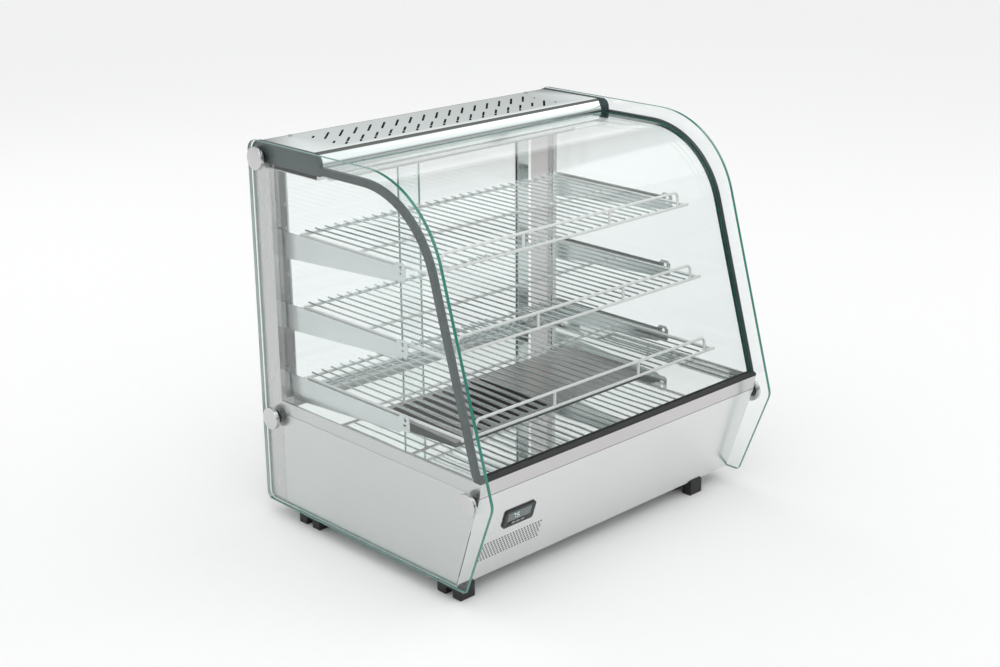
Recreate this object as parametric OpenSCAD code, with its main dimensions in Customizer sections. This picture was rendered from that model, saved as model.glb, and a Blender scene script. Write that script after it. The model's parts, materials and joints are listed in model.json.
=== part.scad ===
// Heated countertop display case: curved glass front, three wire shelves, sliding rear doors.
// X runs across the case, -Y is the customer side, Z is up from the counter.

/* [Overall] */
// Width over the two side glasses
case_w = 690; // [580:5:850]
// Depth over the side glasses
case_d = 574; // [500:5:700]
// Height from the counter to the top of the side glasses
case_h = 671; // [600:5:820]
// Height of the feet
foot_h = 27; // [15:1:50]

/* [Side glass] */
// Thickness of the side glass
side_glass_t = 6; // [4:0.5:8]
// Gap between the side glass and the body, filled by washers
side_gap = 1.5; // [1:0.5:3]
// Height of the foremost corner of the side glass
kink_z = 191.5; // [170:0.5:200]
// Radius of that foremost corner
kink_r = 25; // [8:1:40]
// How far the lower front corner stands back from the foremost one
toe_back = 61; // [40:1:80]
// Lean of the glazed front from vertical, in degrees
front_slope = 16.6; // [8:0.2:20]
// Radius of the large top front curve
crown_r = 174; // [120:2:200]

/* [Front glass and its trim] */
// Setback of the edge strip from the front edge of the side glass, square to the slope
strip_back = 24.2; // [16:0.2:36]
// Drop of the edge strip below the top of the side glass
strip_drop = 20.5; // [14:0.5:26]
// Outer radius of the edge strip
strip_r = 170; // [120:2:200]
// Depth of the edge strip, through the glass thickness
strip_t = 10.5; // [9.5:0.5:14]
// Width of the edge strip across the case
strip_w = 8; // [7:0.5:12]
// Depth of the strips' outer leg, against the side glass
strip_leg = 13; // [11:0.5:18]
// Thickness of the curved front glass
front_glass_t = 5; // [4:0.5:6]
// Depth of the front glass below the strip's outer face
glass_sink = 3.5; // [3:0.25:4.5]
// How far the front glass reaches into each strip
glass_bite = 4; // [2:0.5:6]
// Height of the black gasket under the front glass
gasket_h = 6; // [5:0.5:9]

/* [Base] */
// Height of the top of the base rim
base_top = 221; // [212:1:230]
// Height of the side panels' top edge
panel_top = 198.8; // [196:0.2:204]
// Setback of the front panel's top edge from the foremost point
panel_back = 33; // [28:1:45]
// Setback of the front panel's bottom edge from the foremost point
panel_toe = 87.6; // [75:0.5:100]
// Height of the polished floor
deck_z = 208; // [204:1:214]
// Thickness of the sheet steel
sheet = 1.2; // [0.8:0.1:1.6]
// Width of the folded rim round the floor
rim_w = 4; // [3:0.5:8]

/* [Cap] */
// Height of the cap's top face below the top of the side glass
cap_drop = 2; // [1:0.5:4]
// Distance of the cap's nose from the rear
nose_back = 175; // [150:1:200]
// Radius of the nose
nose_r = 22; // [14:1:24]
// Radius of the cap's rear corner
cap_rear_r = 20; // [12:1:24]
// Thickness of each end plate
end_t = 8; // [5:1:10]
// Number of full slots in each row of the cap
cap_slots = 16; // [8:1:17]
// Length of a cap slot, which lies at 45 degrees
cap_slot_l = 54; // [20:1:60]
// Width of a cap slot
cap_slot_w = 4; // [2:0.5:6]
// Distance between cap slots
cap_slot_pitch = 30.5; // [22:0.5:32]

/* [Rear frame and doors] */
// Depth of each rear post
post_d = 46; // [36:1:56]
// Width of each rear post
post_w = 24.5; // [18:0.5:32]
// Depth of the slotted flange in front of a post
flange_d = 10; // [8:0.5:16]
// Thickness of the door glass
door_t = 5; // [4:0.5:6]
// Overlap of the two closed doors
door_overlap = 20; // [10:1:40]
// How far the right-hand door stands open
door_ajar = 40; // [0:1:200]
// Width of a door handle strip
handle_w = 28; // [20:1:40]
// Thickness of a door handle strip
handle_t = 9; // [7:0.5:9.5]
// Thickness of the handle's web, outside the edge of the glass
handle_web = 2; // [1:0.5:4]
// Distance between the two door tracks
track_pitch = 12; // [11:0.5:14]

/* [Shelves] */
// Height of the top shelf
shelf_top_z = 514; // [470:1:540]
// Distance between shelves
shelf_pitch = 126; // [105:1:130]
// Front reach of the top shelf, ahead of the case centre
reach_top = 112; // [80:1:120]
// Front reach of the middle shelf
reach_middle = 146; // [100:1:152]
// Front reach of the bottom shelf
reach_bottom = 184; // [120:1:190]
// Distance between the long wires
wire_pitch = 20.5; // [14:0.5:30]
// Diameter of the long wires
wire_d = 3; // [2:0.25:4]
// Diameter of the cross wires and the rail
rod_d = 5; // [4:0.25:6]
// Height of the front rail above the front cross wire
rail_h = 27; // [18:1:36]
// Thickness of a shelf bracket
bracket_t = 1.5; // [1:0.25:2.5]
// Length of a bracket, from the slotted flange to its front tab
bracket_l = 304; // [220:1:320]

/* [Stand-off buttons] */
// Diameter of a button head
button_d = 39; // [24:1:46]
// Thickness of a button head
button_t = 9; // [6:1:14]
// Diameter of the stud through the glass
stud_d = 9; // [6:0.5:12]

/* [Heater and fan] */
// Width of the heater cover
cover_w = 466; // [380:2:500]
// Depth of the heater cover
cover_d = 188; // [150:2:220]
// Height of the cover above the floor, at its rear
cover_rise = 11; // [6:1:16]
// Height of the cover above the floor, at its front
cover_low = 4; // [3:1:10]
// Number of hot air slots in the cover
cover_slots = 10; // [5:1:12]
// Distance between those slots
cover_slot_pitch = 22.3; // [18:0.1:26]
// Width of a hot air slot
cover_slot_w = 11; // [6:0.5:14]
// Diameter of the fan
fan_d = 120; // [90:2:130]
// Diameter of the fan motor's shaft
shaft_d = 5; // [4:0.5:8]

/* [Controls] */
// Width of the thermostat bezel
bezel_w = 67; // [60:1:80]
// Height of the thermostat bezel
bezel_h = 34; // [28:1:40]
// Distance of the bezel's centre below the top of the front panel
bezel_down = 68.3; // [50:0.1:80]
// Columns of holes in the front vent
vent_cols = 22; // [10:1:30]
// Rows of holes in the front vent
vent_rows = 7; // [3:1:8]
// Diameter of a vent hole
vent_hole = 3.4; // [2:0.2:4]

/* [Hidden] */
$fn = 48;

play = 0.3;                                  // clearance between pieces that only lie beside each other
half_w = case_w / 2;
half_d = case_d / 2;
glass_in = half_w - side_glass_t;            // inner face of a side glass
body_hw = glass_in - side_gap;               // half the width of the body
rear_in = half_d - 1;                        // rear face of the body
lean = tan(front_slope);
toe_lean = atan(toe_back / (kink_z - foot_h));
kink_ratio = cos((front_slope - toe_lean) / 2) / cos((front_slope + toe_lean) / 2);
kink_y = -half_d - kink_r * (kink_ratio - 1);  // sharp corner, so that the rounded one is foremost at -half_d

// ---- outline helpers, on [y, z] points -------------------------------------------------
function unit(v) = v / norm(v);
function fillet(a, b, c, r) =
    let (u = unit(a - b), v = unit(c - b), open = acos(u * v), reach = r / tan(open / 2),
         o = b + unit(u + v) * r / sin(open / 2), s = b + u * reach - o, e = b + v * reach - o,
         s0 = atan2(s.y, s.x), sweep = ((atan2(e.y, e.x) - s0 + 540) % 360) - 180,
         n = max(3, ceil(abs(sweep) / (r > 60 ? 4 : 12))))
    r <= 0 ? [b] : [for (i = [0:n]) o + r * [cos(s0 + sweep * i / n), sin(s0 + sweep * i / n)]];
// closed outline whose corners [y, z, radius] are rounded
function rounded(p) = [for (i = [0:len(p) - 1])
    each fillet(flat(p[(i + len(p) - 1) % len(p)]), flat(p[i]), flat(p[(i + 1) % len(p)]), p[i].z)];
function flat(p) = [p.x, p.y];
function backward(p) = [for (i = [len(p) - 1:-1:0]) p[i]];

// y of the sloping glazed front at height z, lying back by off from the side glass's front edge
function slope_y(z, off) = kink_y + (z - kink_z) * lean + off / cos(front_slope);
// open run of the glazed front: up the slope, round the crown and back along the top to y = stop
function front_run(off, drop, r, low, stop) =
    let (top = case_h - drop)
    concat([[slope_y(low, off), low]],
        fillet([slope_y(low, off), low], [slope_y(top, off), top], [half_d, top], r), [[stop, top]]);

// extrude a [y, z] outline along X, from x0 over length w
module across(x0, w) { translate([x0, 0, 0]) rotate([90, 0, 90]) linear_extrude(w) children(); }
// the same on both sides of the case, for side -1 or 1, from x = inner to x = outer
module beside(side, inner, outer) { across(side < 0 ? -outer : inner, outer - inner) children(); }
module box(lo, hi) { translate(lo) cube(hi - lo); }
// round rod between two points that lie along X, Y or Z
module rod(a, b, d) {
    v = b - a;
    translate([min(a.x, b.x), min(a.y, b.y), min(a.z, b.z)])
        rotate(v.x != 0 ? [0, 90, 0] : v.y != 0 ? [-90, 0, 0] : [0, 0, 0]) cylinder(d = d, h = norm(v), $fn = 24);
}
// upright slot with round ends, cut down Z, running along Y
module slot_y(l, w, h) {
    translate([-w / 2, -(l - w) / 2, 0]) cube([w, l - w, h]);
    for (s = [-1, 1]) translate([0, s * (l - w) / 2, 0]) cylinder(d = w, h = h, $fn = 24);
}

// ---- places shared by several pieces ---------------------------------------------------
post_y = rear_in - post_d;                   // front face of a rear post
post_in = body_hw - post_w;                  // inner face of a rear post
cap_z = case_h - cap_drop;
strip_top = case_h - strip_drop;
end_z = strip_top - 16;                      // bottom of the cap's end plates
nose_y = half_d - nose_back;
end_front = nose_y - 6;                      // front edge of an end plate
glass_drop = strip_drop + glass_sink;
front_glass_hw = glass_in - strip_w + glass_bite;
panel_y = -half_d + panel_back;              // top edge of the front panel
panel_z = panel_top - 3.4;
panel_low_y = -half_d + panel_toe;
panel_run = [panel_low_y - panel_y, panel_z - foot_h];
panel_l = norm(panel_run);
panel_lean = atan2(panel_run.x, panel_run.y);
lip_y = panel_y - 4.3;                       // foremost edge of the rim above the front panel
rim_in_y = slope_y(base_top, strip_back) + strip_t + 1.5;
button_at = [[half_d - 28.5, strip_top - 7.7], [half_d - 31.3, 187], [-half_d + 47.6, 184.7]];
stud_hole = stud_d + 2 * play;
track_in = post_y + 17;                      // middle of the inner door track
track_out = track_in + track_pitch;
sill_z = deck_z - 6;                         // underside of the bottom door track
track_h = 12;
groove_h = 8;
head_z = end_z - 14;                         // underside of the top door track
door_low = sill_z + track_h - groove_h + play;
door_high = head_z + groove_h - 1;
door_w = post_in + door_overlap / 2;
liner_z = end_z - 10;
liner_y = nose_y + 11;                       // front wall of the cap liner
glass_tail_y = liner_y - 1;                  // rear edge of the front glass, under the cap
shelf_z = [shelf_top_z, shelf_top_z - shelf_pitch, shelf_top_z - 2 * shelf_pitch];
shelf_reach = [reach_top, reach_middle, reach_bottom];
plate_in = post_in + bracket_t + play;       // inner face of a bracket plate
flange_y = post_y - flange_d;
ledge_w = 17;
cover_x = -7;                                // middle of the heater cover
slot_x0 = cover_x - cover_w / 2 + 21;        // first hot air slot
duct_z = 112;                                // floor of the air duct
duct_lip = 12;
fan_x = cover_x + cover_w / 2 - fan_d / 2 - 30;
rocker_r = 12;

// move to the front panel's outer face: y up the panel from its top edge, z outwards
module on_panel() { translate([0, panel_y, panel_z]) rotate([90 + panel_lean, 0, 0]) children(); }
// move to the rear panel's outer face: x stays, y is height, z points out of the back
module on_rear(x, z) { translate([x, rear_face, z]) rotate([-90, 0, 0]) children(); }
rear_face = rear_in - 7;

// ---- glass -----------------------------------------------------------------------------
module side_glass(side) {
    outline = rounded([[half_d, foot_h, 12], [-half_d + toe_back, foot_h, 8], [kink_y, kink_z, kink_r],
        [slope_y(case_h, 0), case_h, crown_r], [half_d, case_h, 19]]);
    color([0.85, 0.95, 0.92, 0.35]) difference() {
        beside(side, glass_in, half_w) polygon(outline);
        for (p = button_at) rod([side * (glass_in - 5), p.x, p.y], [side * (half_w + 5), p.x, p.y], stud_hole);
    }
}
module front_glass() {
    off = strip_back + glass_sink;
    low = base_top + 2;
    color([0.85, 0.95, 0.92, 0.35]) across(-front_glass_hw, 2 * front_glass_hw) polygon(concat(
        front_run(off, glass_drop, strip_r - glass_sink, low, glass_tail_y),
        backward(front_run(off + front_glass_t, glass_drop + front_glass_t,
            strip_r - glass_sink - front_glass_t, low, glass_tail_y))));
}
// black channel that holds the front glass along one side
module edge_strip(side) {
    low = base_top + gasket_h;
    off = strip_back + glass_sink - play;
    slot_t = front_glass_t + 2 * play;
    stop = end_front - play;
    color([0.13, 0.15, 0.15]) difference() {
        for (leg = [[strip_w, strip_t], [strip_w - glass_bite - play, strip_leg]])
            beside(side, glass_in - leg[0], glass_in - play) polygon(concat(
                front_run(strip_back, strip_drop, strip_r, low, stop),
                backward(front_run(strip_back + leg[1], strip_drop + leg[1], strip_r - leg[1], low, stop))));
        beside(side, glass_in - strip_w - 1, front_glass_hw + play) polygon(concat(
            front_run(off, glass_drop - play, strip_r - glass_sink + play, low - 1, end_front + 1),
            backward(front_run(off + slot_t, glass_drop - play + slot_t,
                strip_r - glass_sink + play - slot_t, low - 1, end_front + 1))));
    }
}
module front_gasket() {
    off = strip_back + glass_sink - play;
    slot_t = front_glass_t + 2 * play;
    low = base_top;
    top = base_top + gasket_h;
    hw = glass_in - play;
    glass_hw = front_glass_hw;
    color([0.12, 0.14, 0.14]) difference() {
        across(-hw, 2 * hw) polygon(rounded([[lip_y + 0.5, low, 0], [lip_y + 0.5, low + 0.6 * gasket_h, 2],
            [slope_y(top, strip_back) - 0.5, top, 1.5], [slope_y(top, strip_back + strip_t), top, 1],
            [slope_y(low, strip_back + strip_t), low, 0]]));
        across(-glass_hw - play, 2 * (glass_hw + play)) polygon([[slope_y(low + 2, off), low + 2],
            [slope_y(top + 5, off), top + 5], [slope_y(top + 5, off + slot_t), top + 5],
            [slope_y(low + 2, off + slot_t), low + 2]]);
    }
}

// ---- cap -------------------------------------------------------------------------------
module cap_end(side) {
    color([0.1, 0.11, 0.11]) difference() {
        beside(side, body_hw - end_t, body_hw) polygon(rounded([[rear_in, end_z, 3],
            [rear_in, cap_z + 1, cap_rear_r], [end_front, cap_z + 1, 16], [end_front, end_z, 0]]));
        rod([side * (body_hw - end_t - 1), button_at[0].x, button_at[0].y],
            [side * (body_hw + 1), button_at[0].x, button_at[0].y], stud_hole);
        beside(side, body_hw - end_t - 1, front_glass_hw + play) polygon([
            [end_front - 1, case_h - glass_drop + play], [glass_tail_y + play, case_h - glass_drop + play],
            [glass_tail_y + play, case_h - glass_drop - front_glass_t - play],
            [end_front - 1, case_h - glass_drop - front_glass_t - play]]);
    }
}
module cap_top() {
    hw = body_hw - end_t - play;
    t = sheet;
    low_rear = end_z + play;
    low_nose = case_h - glass_drop + play;
    r = min(nose_r, cap_z - low_nose - 0.5);
    outer = concat([[nose_y, low_nose]], fillet([nose_y, low_nose], [nose_y, cap_z], [rear_in, cap_z], r),
        fillet([nose_y, cap_z], [rear_in, cap_z], [rear_in, low_rear], cap_rear_r), [[rear_in, low_rear]]);
    inner = concat([[nose_y + t, low_nose]],
        fillet([nose_y + t, low_nose], [nose_y + t, cap_z - t], [rear_in - t, cap_z - t], r - t),
        fillet([nose_y + t, cap_z - t], [rear_in - t, cap_z - t], [rear_in - t, low_rear], cap_rear_r - t),
        [[rear_in - t, low_rear]]);
    x0 = -cap_slot_pitch * (cap_slots - 1) / 2 - 4;
    color([0.8, 0.8, 0.79]) difference() {
        across(-hw, 2 * hw) polygon(concat(outer, backward(inner)));
        for (row_y = [half_d - 68, half_d - 123]) {
            for (i = [0:cap_slots - 1]) translate([x0 + i * cap_slot_pitch, row_y, cap_z - 5])
                rotate(-45) slot_y(cap_slot_l, cap_slot_w, 10);
            translate([x0 - 0.75 * cap_slot_pitch, row_y + 7, cap_z - 5])
                rotate(-45) slot_y(cap_slot_l / 3, cap_slot_w, 10);
            translate([x0 + (cap_slots - 0.25) * cap_slot_pitch, row_y - 7, cap_z - 5])
                rotate(-45) slot_y(cap_slot_l / 7, cap_slot_w, 10);
        }
        for (s = [-1, 1]) translate([s * cap_screw_x, cap_screw_y, cap_z - 5]) cylinder(d = 4 + play, h = 10);
    }
}
cap_screw_x = body_hw - 62;
cap_screw_y = half_d - 25;
module cap_liner() {
    hw = body_hw - end_t - play;
    t = sheet;
    back = post_y - play;
    color([0.75, 0.76, 0.75]) difference() {
        across(-hw, 2 * hw) polygon([[liner_y, case_h - glass_drop + 2], [liner_y, liner_z], [back, liner_z],
            [back, liner_z + 22], [back - t, liner_z + 22], [back - t, liner_z + t], [liner_y + t, liner_z + t],
            [liner_y + t, case_h - glass_drop + 2]]);
        for (s = [-1, 1]) translate([s * lamp_l / 2 * 0.8, liner_y + 28, liner_z - 1]) cylinder(d = 4, h = 5);
    }
}
lamp_l = 2 * post_in - 60;
// light strip: an aluminium channel with a frosted cover and two studs
module lamp_strip() {
    y = liner_y + 28;
    color([0.92, 0.93, 0.92]) {
        across(-lamp_l / 2, lamp_l) polygon(rounded([[y - 11, liner_z - 0.1, 0], [y - 11, liner_z - 8, 2],
            [y - 6, liner_z - 12, 4], [y + 6, liner_z - 12, 4], [y + 11, liner_z - 8, 2], [y + 11, liner_z - 0.1, 0]]));
        for (s = [-1, 1]) rod([s * lamp_l * 0.4, y, liner_z - 2], [s * lamp_l * 0.4, y, liner_z + 5], 4 - play);
    }
}

// ---- base ------------------------------------------------------------------------------
module bottom_plate() {
    hw = body_hw - sheet - play;
    front = panel_low_y + 14;
    color([0.7, 0.71, 0.72]) difference() {
        union() {
            box([-hw, front, foot_h], [hw, post_y - play, foot_h + sheet]);
            box([-post_in + play, post_y - 5, foot_h], [post_in - play, rear_face - sheet - play, foot_h + sheet]);
            for (s = [-1, 1]) box([s < 0 ? -hw : hw - sheet, front, foot_h], [s < 0 ? -hw + sheet : hw,
                post_y - play, foot_h + 14]);
        }
        for (i = [0:7]) translate([fan_x - 49 + i * 14, 0, foot_h - 1]) slot_y(80, 5, 4);
        for (p = foot_at) translate([p.x, p.y, foot_h - 1]) cylinder(d = 5, h = 5);
    }
}
foot_l = 56;
foot_w = 30;
foot_at = [[-body_hw + foot_w / 2 + 6, panel_low_y - 3 + foot_l / 2], [249, panel_low_y - 3 + foot_l / 2],
    [-body_hw + foot_w / 2 + 6, half_d - 101], [249, half_d - 101]];
// block foot with an arch between its two legs, screwed up into the bottom plate
module foot(p) {
    leg = 20;
    color([0.07, 0.07, 0.08]) union() {
        translate([0, p.y, 0]) across(p.x - foot_w / 2, foot_w) polygon(rounded([[-foot_l / 2, 0, 2],
            [-foot_l / 2 + leg, 0, 1], [-foot_l / 2 + leg, foot_h / 2, 3], [foot_l / 2 - leg, foot_h / 2, 3],
            [foot_l / 2 - leg, 0, 1], [foot_l / 2, 0, 2], [foot_l / 2, foot_h, 0], [-foot_l / 2, foot_h, 0]]));
        translate([p.x, p.y, foot_h - 1]) cylinder(d = 5 - play, h = 6);
    }
}
module front_panel() {
    hw = body_hw;
    color([0.78, 0.79, 0.79]) difference() {
        union() {
            on_panel() box([-hw, -panel_l, -sheet], [hw, -sheet / 2, 0]);
            box([-hw, panel_low_y, foot_h], [hw, panel_low_y + 13, foot_h + sheet]);
        }
        on_panel() {
            translate([bezel_x, -bezel_down, -5]) cube([bezel_w - 5, bezel_h - 5, 20], center = true);
            for (r = [0:vent_rows - 1], c = [0:vent_cols - 1 - r % 2])
                translate([vent_x + (c + (r % 2) / 2) * vent_pitch, -vent_down - r * vent_step, -3])
                    cylinder(d = vent_hole, h = 6, $fn = 16);
        }
    }
}
bezel_x = -body_hw + 103.8;
vent_pitch = 6.25;
vent_step = 5.2;
vent_x = -body_hw + 35;
vent_down = 106.5;
module side_panel(side) {
    in = sheet / cos(panel_lean);
    color([0.78, 0.78, 0.78]) difference() {
        beside(side, body_hw - sheet, body_hw) polygon([[panel_low_y + in + 0.5, foot_h + sheet + play],
            [panel_y + in + 0.5, panel_z - play], [panel_y + in + 0.5, panel_top],
            [post_y - play, panel_top], [post_y - play, foot_h],
            [panel_low_y + 14, foot_h], [panel_low_y + 14, foot_h + sheet + play]]);
        rod([side * (body_hw - 5), button_at[2].x, button_at[2].y],
            [side * (body_hw + 5), button_at[2].x, button_at[2].y], stud_hole);
    }
}
module rear_panel() {
    hw = post_in - play;
    top = sill_z - play;
    color([0.76, 0.77, 0.77]) difference() {
        union() {
            box([-hw, rear_face - sheet, foot_h + play], [hw, rear_face, top]);
            box([-hw, rear_face - 20, top - sheet], [hw, rear_face, top]);
        }
        for (i = [0:11]) on_rear(-60 + i * 14, 110) translate([0, 0, -5]) slot_y(60, 5, 10);
        for (x = [switch_x, switch_x + switch_pitch]) on_rear(x, switch_z)
            cube([12.5, 28, 20], center = true);
        on_rear(gland_x, gland_z) translate([0, 0, -5]) cylinder(d = gland_d + play, h = 10);
        for (p = rear_screws) on_rear(p.x, p.y) translate([0, 0, -5]) cylinder(d = 4 + play, h = 10);
    }
}
switch_x = 180;
switch_pitch = 34;
switch_z = 120;
gland_x = -250;
gland_z = 60;
gland_d = 16;
rear_screws = [for (x = [-post_in + 14, post_in - 14], z = [foot_h + 24, sill_z - 30]) [x, z]];
// polished floor with a folded rim that laps over the side and front panels
module deck_tray() {
    floor_back = post_y - play;
    wall = body_hw - rim_w;
    color([0.86, 0.87, 0.87]) difference() {
        union() {
            box([-wall - sheet, rim_in_y - sheet, deck_z - sheet], [wall + sheet, floor_back, deck_z]);
            for (s = [-1, 1]) {
                beside(s, wall, wall + sheet) polygon([[rim_in_y - sheet, deck_z - sheet],
                    [rim_in_y - sheet, base_top], [floor_back, base_top], [floor_back, deck_z - sheet]]);
                beside(s, wall, body_hw) polygon([[lip_y + sheet, base_top - sheet], [lip_y + sheet, base_top],
                    [floor_back, base_top], [floor_back, base_top - sheet]]);
                beside(s, body_hw - sheet, body_hw) polygon([[lip_y + 4.4, panel_top + play],
                    [lip_y + 0.6, base_top], [floor_back, base_top], [floor_back, panel_top + play]]);
            }
            across(-body_hw, 2 * body_hw) polygon([[lip_y, base_top], [rim_in_y, base_top],
                [rim_in_y, deck_z - sheet], [rim_in_y - sheet, deck_z - sheet], [rim_in_y - sheet, base_top - sheet],
                [lip_y + sheet + 0.4, base_top - sheet], [panel_y + sheet + 0.2, panel_z + play],
                [panel_y, panel_z + play]]);
        }
        box([cover_x - cover_w / 2 + 8, -cover_d / 2 + 8, deck_z - 5],
            [cover_x + cover_w / 2 - 8, cover_d / 2 - 8, deck_z + 5]);
    }
}

// ---- heater, fan and their cover -------------------------------------------------------
module heater_cover() {
    x0 = cover_x - cover_w / 2;
    y0 = -cover_d / 2;
    t = 1;
    rear_z = deck_z + cover_rise;
    front_z = deck_z + cover_low;
    color([0.72, 0.73, 0.73]) difference() {
        union() {
            across(x0, cover_w) polygon([[y0, deck_z + 0.1], [y0, front_z], [-y0, rear_z], [-y0, deck_z + 0.1],
                [-y0 - t, deck_z + 0.1], [-y0 - t, rear_z - t], [y0 + t, front_z - t], [y0 + t, deck_z + 0.1]]);
            for (x = [x0, x0 + cover_w - t]) across(x, t)
                polygon([[y0, deck_z + 0.1], [y0, front_z], [-y0, rear_z], [-y0, deck_z + 0.1]]);
        }
        for (i = [0:cover_slots - 1]) translate([slot_x0 + i * cover_slot_pitch, 0, deck_z])
            slot_y(cover_d - 22, cover_slot_w, 20);
        for (i = [0:11]) box([fan_x - 60 + i * 10, -y0 - 3, deck_z + 4], [fan_x - 56 + i * 10, -y0 + 3, rear_z - 3]);
    }
}
module air_duct() {
    x0 = cover_x - cover_w / 2 + 8;
    x1 = cover_x + cover_w / 2 - 8;
    y1 = cover_d / 2 - 8;
    top = deck_z - sheet - 0.1;
    color([0.66, 0.68, 0.69]) difference() {
        union() {
            box([x0 - sheet, -y1 - sheet, duct_z], [x1 + sheet, y1 + sheet, top]);
            box([x0 - duct_lip, -y1 - duct_lip, top - sheet], [x1 + duct_lip, y1 + duct_lip, top]);
        }
        box([x0, -y1, duct_z + sheet], [x1, y1, top + 1]);
        translate([fan_x, 0, duct_z - 1]) cylinder(d = shaft_d + 3, h = 4);
        for (s = [-1, 1]) rod([x0 - 3, s * heater_gap / 2, heater_z], [x0 + 3, s * heater_gap / 2, heater_z], heater_d + play);
    }
}
heater_d = 8.5;
heater_gap = 70;
heater_z = duct_z + 40;
// hairpin heating rod with pressed fins
module heater_element() {
    x0 = cover_x - cover_w / 2 - 6;
    l = fan_x - fan_d / 2 - 50 - x0;
    r = heater_gap / 2;
    color([0.45, 0.43, 0.42]) union() {
        for (s = [-1, 1]) {
            rod([x0, s * r, heater_z], [x0 + l, s * r, heater_z], heater_d);
            for (i = [0:15]) rod([x0 + 30 + i * 11, s * r, heater_z], [x0 + 31 + i * 11, s * r, heater_z], 26);
        }
        translate([x0 + l, 0, heater_z]) intersection() {
            rotate_extrude($fn = 48) translate([r, 0]) circle(d = heater_d, $fn = 24);
            translate([0, -100, -20]) cube([100, 200, 40]);
        }
    }
}
module fan_motor() {
    h = 46;
    color([0.35, 0.36, 0.38]) difference() {
        union() {
            translate([fan_x, 0, duct_z - h - 2]) cylinder(d = 68, h = h);
            translate([fan_x, 0, duct_z - 3]) cylinder(d = 22, h = 2.8);
            translate([fan_x, 0, duct_z - 2]) cylinder(d = shaft_d, h = 40);
            translate([fan_x - 55, -9, duct_z - 8]) cube([110, 18, 2]);
            for (s = [-1, 1]) translate([fan_x + s * 48, 0, duct_z - 8]) cylinder(d = 12, h = 7.8);
        }
        for (i = [0:7]) translate([fan_x, 0, duct_z - h - 3]) rotate(i * 45) translate([24, 0, 0])
            cylinder(d = 8, h = 6, $fn = 24);
    }
}
fan_z = duct_z + 12;
module fan_blade() {
    color([0.75, 0.76, 0.78]) difference() {
        union() {
            translate([fan_x, 0, fan_z]) cylinder(d = 26, h = 20);
            for (i = [0:4]) translate([fan_x, 0, fan_z + 10]) rotate(i * 72) rotate([28, 0, 0])
                translate([8, -14, -0.8]) cube([fan_d / 2 - 10, 28, 1.6]);
        }
        translate([fan_x, 0, fan_z - 20]) cylinder(d = shaft_d + 0.1, h = 60);
    }
}
module terminal_block() {
    x = gland_x + 60;
    y = rear_face - 60;
    z = foot_h + sheet + 0.1;
    color([0.9, 0.9, 0.86]) difference() {
        translate([x, y, z]) cube([58, 24, 20]);
        for (i = [0:4]) translate([x + 7 + i * 11, y + 12, z + 8]) cylinder(d = 7, h = 20, $fn = 24);
    }
}
// bimetal cut-out clamped to the outside of the air duct
module thermal_cutout() {
    x = cover_x - 60;
    y = -cover_d / 2 + 8 - sheet - 0.1;
    color([0.85, 0.82, 0.7]) {
        rod([x, y, duct_z + 50], [x, y - 3, duct_z + 50], 22);
        rod([x, y - 3, duct_z + 50], [x, y - 12, duct_z + 50], 16);
        for (s = [-1, 1]) box([x + s * 4 - 0.4, y - 22, duct_z + 47], [x + s * 4 + 0.4, y - 11.5, duct_z + 53]);
    }
}

// ---- rear frame and doors --------------------------------------------------------------
// three-sided sheet post, open to the rear, with a short return
module rear_post(side) {
    low = foot_h;
    high = end_z - play;
    m = side < 0 ? 1 : 0;
    color([0.77, 0.76, 0.76]) difference() {
        mirror([m, 0, 0]) translate([0, 0, low]) linear_extrude(high - low) polygon([[post_in, rear_in],
            [post_in, post_y], [body_hw, post_y], [body_hw, rear_in], [body_hw - 9, rear_in],
            [body_hw - 9, rear_in - sheet], [body_hw - sheet, rear_in - sheet], [body_hw - sheet, post_y + sheet],
            [post_in + sheet, post_y + sheet], [post_in + sheet, rear_in]]);
        rod([side * (body_hw - 5), button_at[1].x, button_at[1].y],
            [side * (body_hw + 5), button_at[1].x, button_at[1].y], stud_hole);
    }
}
// slotted angle that carries the brackets, fixed to the front of a post
module shelf_standard(side) {
    m = side < 0 ? 1 : 0;
    low = base_top + 2;
    high = liner_z - 2;
    t = bracket_t;
    color([0.72, 0.74, 0.74]) mirror([m, 0, 0]) difference() {
        translate([0, 0, low]) linear_extrude(high - low) polygon([[post_in, post_y - 0.1],
            [post_in, flange_y], [post_in + t, flange_y], [post_in + t, post_y - t - 0.1],
            [post_in + 14, post_y - t - 0.1], [post_in + 14, post_y - 0.1]]);
        for (z = shelf_z, k = [-1, 1]) box([post_in - 1, flange_y + 2.5, z - 14 + k * 12 - 4],
            [post_in + t + 0.1, flange_y + 6, z - 14 + k * 12 + 4]);
        for (z = [low + 20:40:high - 20]) box([post_in - 1, flange_y + 2.5, z - 3],
            [post_in + t + 0.1, flange_y + 6, z + 3]);
    }
}
module track(z, up) {
    hw = post_in - play;
    lowest = up ? z + track_h - groove_h : z - 1;
    color([0.16, 0.17, 0.17]) difference() {
        box([-hw, post_y, z], [hw, rear_in - 1, z + (up ? track_h : 14 - play)]);
        for (y = [track_in, track_out]) box([-hw - 1, y - door_t / 2 - 1, lowest],
            [hw + 1, y + door_t / 2 + 1, up ? z + track_h + 1 : z + groove_h]);
    }
}
// pane whose outer upright edge stops short, inside the handle's web
module door_glass(side) {
    x0 = side < 0 ? left_door_x + handle_web + 0.1 : right_door_x;
    y = side < 0 ? track_out : track_in;
    color([0.85, 0.95, 0.92, 0.35]) box([x0, y - door_t / 2, door_low],
        [x0 + door_w - handle_web - 0.1, y + door_t / 2, door_high]);
}
right_door_x = post_in - door_ajar - door_w;
left_door_x = -post_in + play;
handle_low = sill_z + track_h + 3;
handle_high = head_z - 3;
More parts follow.
